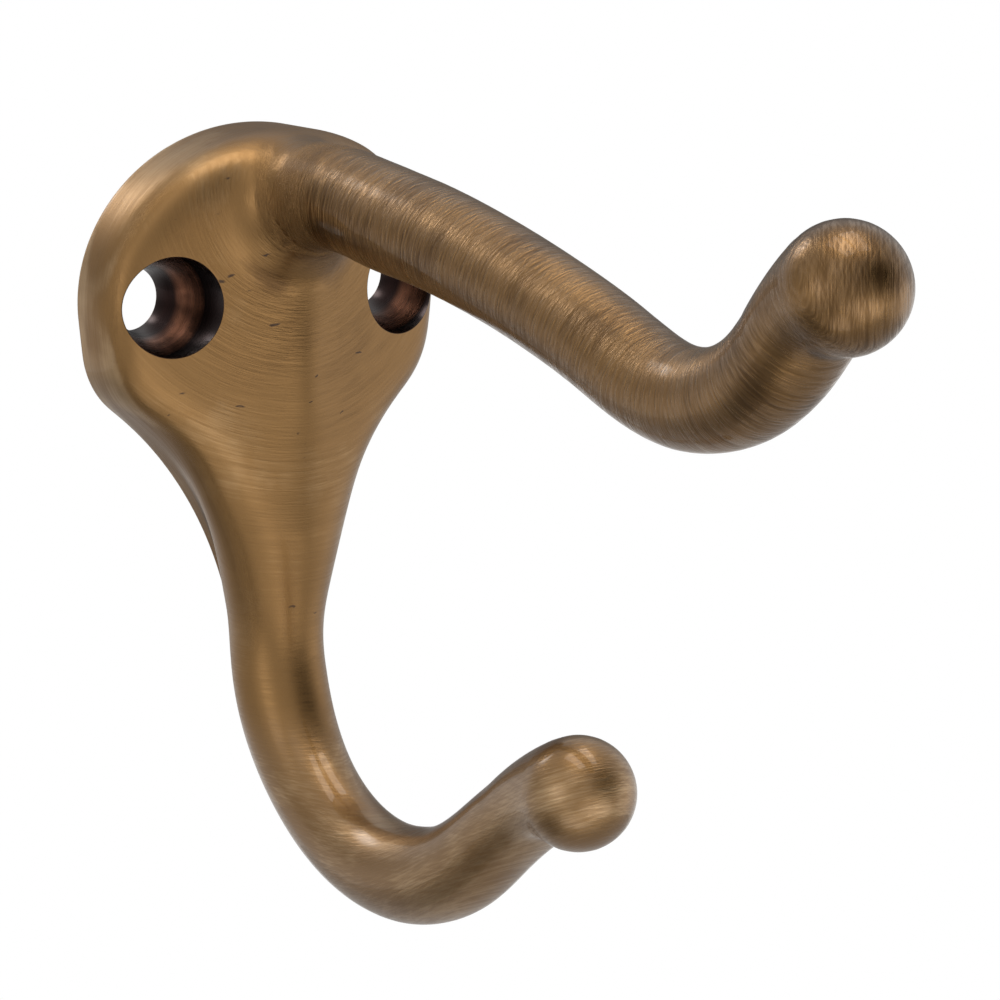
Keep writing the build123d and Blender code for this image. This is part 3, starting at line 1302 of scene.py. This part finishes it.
@dataclass(frozen=True)
class Card:
    """A soft-edged card that faces the hook and is seen only in its reflections.

    A card with no glow of its own given is a dark flag.
    """

    name: str
    place: Point
    size: tuple[float, float]
    cover: float
    glow: float = 0.02
    edge: Fade = Fade(0.5, 0.08)

    def build(self) -> None:
        """Set the card up around the hook."""
        width, height = self.size
        corners = [(-width / 2, -height / 2, 0), (width / 2, -height / 2, 0)]
        corners += [(width / 2, height / 2, 0), (-width / 2, height / 2, 0)]
        mesh = bpy.data.meshes.new(self.name)
        mesh.from_pydata(corners, [], [(0, 1, 2, 3)])
        mesh.materials.append(self._material())
        card = bpy.data.objects.new(self.name, mesh)
        card.location = self.place
        card.rotation_mode = "QUATERNION"
        card.rotation_quaternion = Vector(self.place).to_track_quat("Z", "Y")
        card.visible_camera = False
        card.visible_shadow = False
        card.visible_diffuse = False
        bpy.context.scene.collection.objects.link(card)

    def _material(self) -> bpy.types.Material:
        """Glowing or dark face that fades out towards the card's edges.

        Returns:
            The material.
        """
        material = bpy.data.materials.new(self.name)
        material.use_nodes = True
        sheet = NodeSheet(material.node_tree)
        inputs = material.node_tree.nodes["Principled BSDF"].inputs
        inputs["Base Color"].default_value = (0.0, 0.0, 0.0, 1.0)
        inputs["Specular IOR Level"].default_value = 0.0
        inputs["Emission Color"].default_value = (1.0, 1.0, 1.0, 1.0)
        inputs["Emission Strength"].default_value = self.glow
        spot = sheet.add("ShaderNodeTexCoord").outputs["Generated"]
        gap = sheet.add("ShaderNodeVectorMath", {0: spot, 1: (0.5, 0.5, 0.5)}, operation="DISTANCE")
        shown = sheet.product(sheet.fade(gap.outputs["Value"], self.edge), self.cover)
        sheet.link(shown, inputs["Alpha"])
        return material


@dataclass
class Studio:
    """Pale floor, overhead softbox in two halves, soft cards and the camera."""

    world_level: float = 0.6
    floor_drop: float = 0.5
    floor_radius: float = 1.0
    floor_sides: int = 96
    floor_colour: Colour = (0.86, 0.86, 0.86)
    floor_roughness: float = 0.9
    softbox_place: Point = (0.03, -0.12, 0.62)
    softbox_size: tuple[float, float] = (0.22, 0.48)
    softbox_gap: float = 0.035
    softbox_power: float = 1.35
    softbox_colour: Colour = (1.0, 0.97, 0.94)
    cards: tuple[Card, ...] = (
        Card("left_card", place=(-0.65, -0.18, 0.08), size=(0.60, 0.60), cover=0.95, glow=2.8),
        Card("high_left_card", place=(-0.43, -0.36, 0.49), size=(0.56, 0.56), cover=0.9, glow=2.0),
        Card("back_top_card", place=(-0.17, 0.53, 0.42), size=(0.34, 0.34), cover=0.95, glow=9.0),
        Card("right_card", place=(0.66, -0.30, -0.12), size=(0.90, 0.80), cover=0.9, glow=1.8),
        Card("front_card", place=(-0.02, -0.64, -0.28), size=(1.10, 0.60), cover=0.9, glow=3.0),
        Card("front_flag", place=(0.28, -0.59, 0.24), size=(1.20, 0.85), cover=1.0),
        Card("low_flag", place=(-0.27, 0.08, -0.42), size=(0.75, 0.75), cover=0.65),
        Card("low_left_card", place=(-0.235, -0.27, -0.45), size=(0.75, 0.65), cover=0.9, glow=2.2),
        Card("side_flag", place=(-0.45, 0.45, 0.12), size=(0.75, 0.50), cover=0.45),
        Card("back_flag", place=(0.42, 0.62, 0.12), size=(1.60, 1.00), cover=0.85),
    )
    camera_azimuth: float = 36.70
    camera_elevation: float = 10.00
    camera_distance: float = 0.700
    camera_right: float = 23.73 * MM
    camera_up: float = -19.78 * MM
    lens: float = 272.448
    sensor: float = 36.0
    near_limit: float = 0.05
    far_limit: float = 20.0

    def build(self) -> None:
        """Set up the light, the floor and the camera."""
        bpy.context.scene.view_settings.view_transform = "Standard"
        self._world()
        self._floor()
        self._softbox()
        for card in self.cards:
            card.build()
        self._camera()

    def _world(self) -> None:
        """White surroundings for the camera and for reflections, and a softer level for the rest."""
        world = bpy.data.worlds.new("studio")
        world.use_nodes = True
        bpy.context.scene.world = world
        sheet = NodeSheet(world.node_tree)
        path = sheet.add("ShaderNodeLightPath").outputs
        seen = sheet.maths("MAXIMUM", path["Is Camera Ray"], path["Is Glossy Ray"])
        seen = sheet.maths("MAXIMUM", seen, path["Is Transmission Ray"])
        level = sheet.scaled(seen, 1.0 - self.world_level, self.world_level)
        background = world.node_tree.nodes["Background"]
        background.inputs["Color"].default_value = (1.0, 1.0, 1.0, 1.0)
        sheet.link(level, background.inputs["Strength"])

    def _floor(self) -> None:
        """Pale round floor below the hook."""
        mesh = bpy.data.meshes.new("floor")
        disc = bmesh.new()
        bmesh.ops.create_circle(disc, cap_ends=True, radius=self.floor_radius, segments=self.floor_sides)
        disc.to_mesh(mesh)
        disc.free()
        floor = bpy.data.objects.new("floor", mesh)
        floor.location = (0.0, 0.0, -self.floor_drop)
        material = bpy.data.materials.new("floor_paper")
        material.use_nodes = True
        shader = material.node_tree.nodes["Principled BSDF"]
        shader.inputs["Base Color"].default_value = (*self.floor_colour, 1.0)
        shader.inputs["Roughness"].default_value = self.floor_roughness
        mesh.materials.append(material)
        bpy.context.scene.collection.objects.link(floor)

    def _softbox(self) -> None:
        """Two long lamps side by side over the hook."""
        width, length = self.softbox_size
        middle, depth, height = self.softbox_place
        for side in (-1, 1):
            lamp = bpy.data.lights.new("softbox", "AREA")
            lamp.shape = "RECTANGLE"
            lamp.size = width
            lamp.size_y = length
            lamp.energy = self.softbox_power
            lamp.color = self.softbox_colour
            holder = bpy.data.objects.new("softbox", lamp)
            holder.location = (side * (width + self.softbox_gap) / 2 + middle, depth, height)
            holder.visible_camera = False
            bpy.context.scene.collection.objects.link(holder)

    def _camera(self) -> None:
        """Long lens at the left of the front, slightly above."""
        around, above = math.radians(self.camera_azimuth), math.radians(self.camera_elevation)
        right = Vector((math.cos(around), -math.sin(around), 0.0))
        level = math.cos(above)
        back = Vector((-math.sin(around) * level, -math.cos(around) * level, math.sin(above)))
        up = back.cross(right)
        data = bpy.data.cameras.new("camera")
        data.lens = self.lens
        data.sensor_width = self.sensor
        data.clip_start = self.near_limit
        data.clip_end = self.far_limit
        camera = bpy.data.objects.new("camera", data)
        place = right * self.camera_right + up * self.camera_up + back * self.camera_distance
        turn = Matrix((right, up, back)).transposed()
        camera.matrix_world = Matrix.Translation(place) @ turn.to_4x4()
        bpy.context.scene.collection.objects.link(camera)
        bpy.context.scene.camera = camera


def main() -> None:
    """Build the casting and its studio."""
    logging.basicConfig(level=logging.INFO, format="%(name)s: %(message)s")
    piece = HookCasting().build(AntiqueBrass(), Effects())
    LOG.info("%s: %d faces", piece.name, len(piece.data.polygons))
    Studio().build()


if __name__ == "__main__":
    main()
